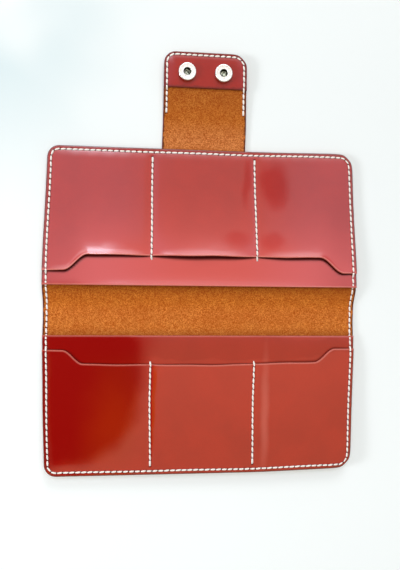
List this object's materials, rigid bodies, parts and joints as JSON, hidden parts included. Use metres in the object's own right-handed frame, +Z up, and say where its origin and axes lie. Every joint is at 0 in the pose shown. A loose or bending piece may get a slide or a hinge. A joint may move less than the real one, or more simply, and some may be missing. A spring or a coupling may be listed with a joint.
{
  "type": "travel document holder",
  "caption": "Long hand-stitched leather holder, open flat, with layered pockets in both halves, a fold between them and a snap-fastened closing strap.",
  "frame": {"origin": "on the surface the holder lies on, in the middle of the open holder's footprint, strap included", "axes": "+Z up out of the pockets, +Y from the fold to the closing strap's tip, +X across the pockets, to the right with the strap pointing away"},
  "size_m": [0.218, 0.2952, 0.0096],
  "materials": {
    "cover_flesh": "napped flesh side inside, smooth grain side outside",
    "pocket_grain": "glossy",
    "thread": "waxed linen",
    "nickel": "polished",
    "spring_wire": "drawn wire"
  },
  "bodies": {
    "upper_half": {"cover_upper": "cover_flesh", "back_pocket_upper": "pocket_grain", "front_pocket_upper": "pocket_grain", "perimeter_thread_upper": "thread", "divider_thread_upper_1": "thread", "divider_thread_upper_2": "thread"},
    "spine": {"cover_spine": "cover_flesh"},
    "lower_half": {"cover_lower": "cover_flesh", "back_pocket_lower": "pocket_grain", "front_pocket_lower": "pocket_grain", "perimeter_thread_lower": "thread", "divider_thread_lower_1": "thread", "divider_thread_lower_2": "thread", "stud_left": "nickel", "stud_right": "nickel", "stud_rivet_left": "nickel", "stud_rivet_right": "nickel"},
    "strap_middle": {"strap_bend": "cover_flesh"},
    "strap_end": {"strap_tip": "cover_flesh", "strap_lining": "pocket_grain", "strap_thread": "thread", "snap_cap_left": "nickel", "snap_cap_right": "nickel", "snap_socket_left": "nickel", "snap_socket_right": "nickel", "socket_spring_left": "spring_wire", "socket_spring_right": "spring_wire"}
  },
  "joints": [
    {"name": "holder_fold", "type": "hinge", "parent": "upper_half", "child": "spine", "pos_m": [0, -0.02831, 0.001], "axis": [-1, 0, 0], "range_deg": [-1.16, 88.84]},
    {"name": "spine_crease", "type": "hinge", "parent": "spine", "child": "lower_half", "pos_m": [0, -0.03991, 0.00123], "axis": [-1, 0, 0], "range_deg": [-1.16, 88.84]},
    {"name": "strap_crease", "type": "hinge", "parent": "upper_half", "child": "strap_middle", "pos_m": [0, 0.08059, 0.001], "axis": [1, 0, 0], "range_deg": [-1.56, 88.44]},
    {"name": "strap_wrap", "type": "hinge", "parent": "strap_middle", "child": "strap_end", "pos_m": [0, 0.09978, 0.00152], "axis": [1, 0, 0], "range_deg": [-1.56, 88.44]}
  ],
  "couplings": [
    {"joint": "spine_crease", "follows": "holder_fold", "ratio": 1},
    {"joint": "strap_crease", "follows": "strap_wrap", "ratio": 1}
  ]
}
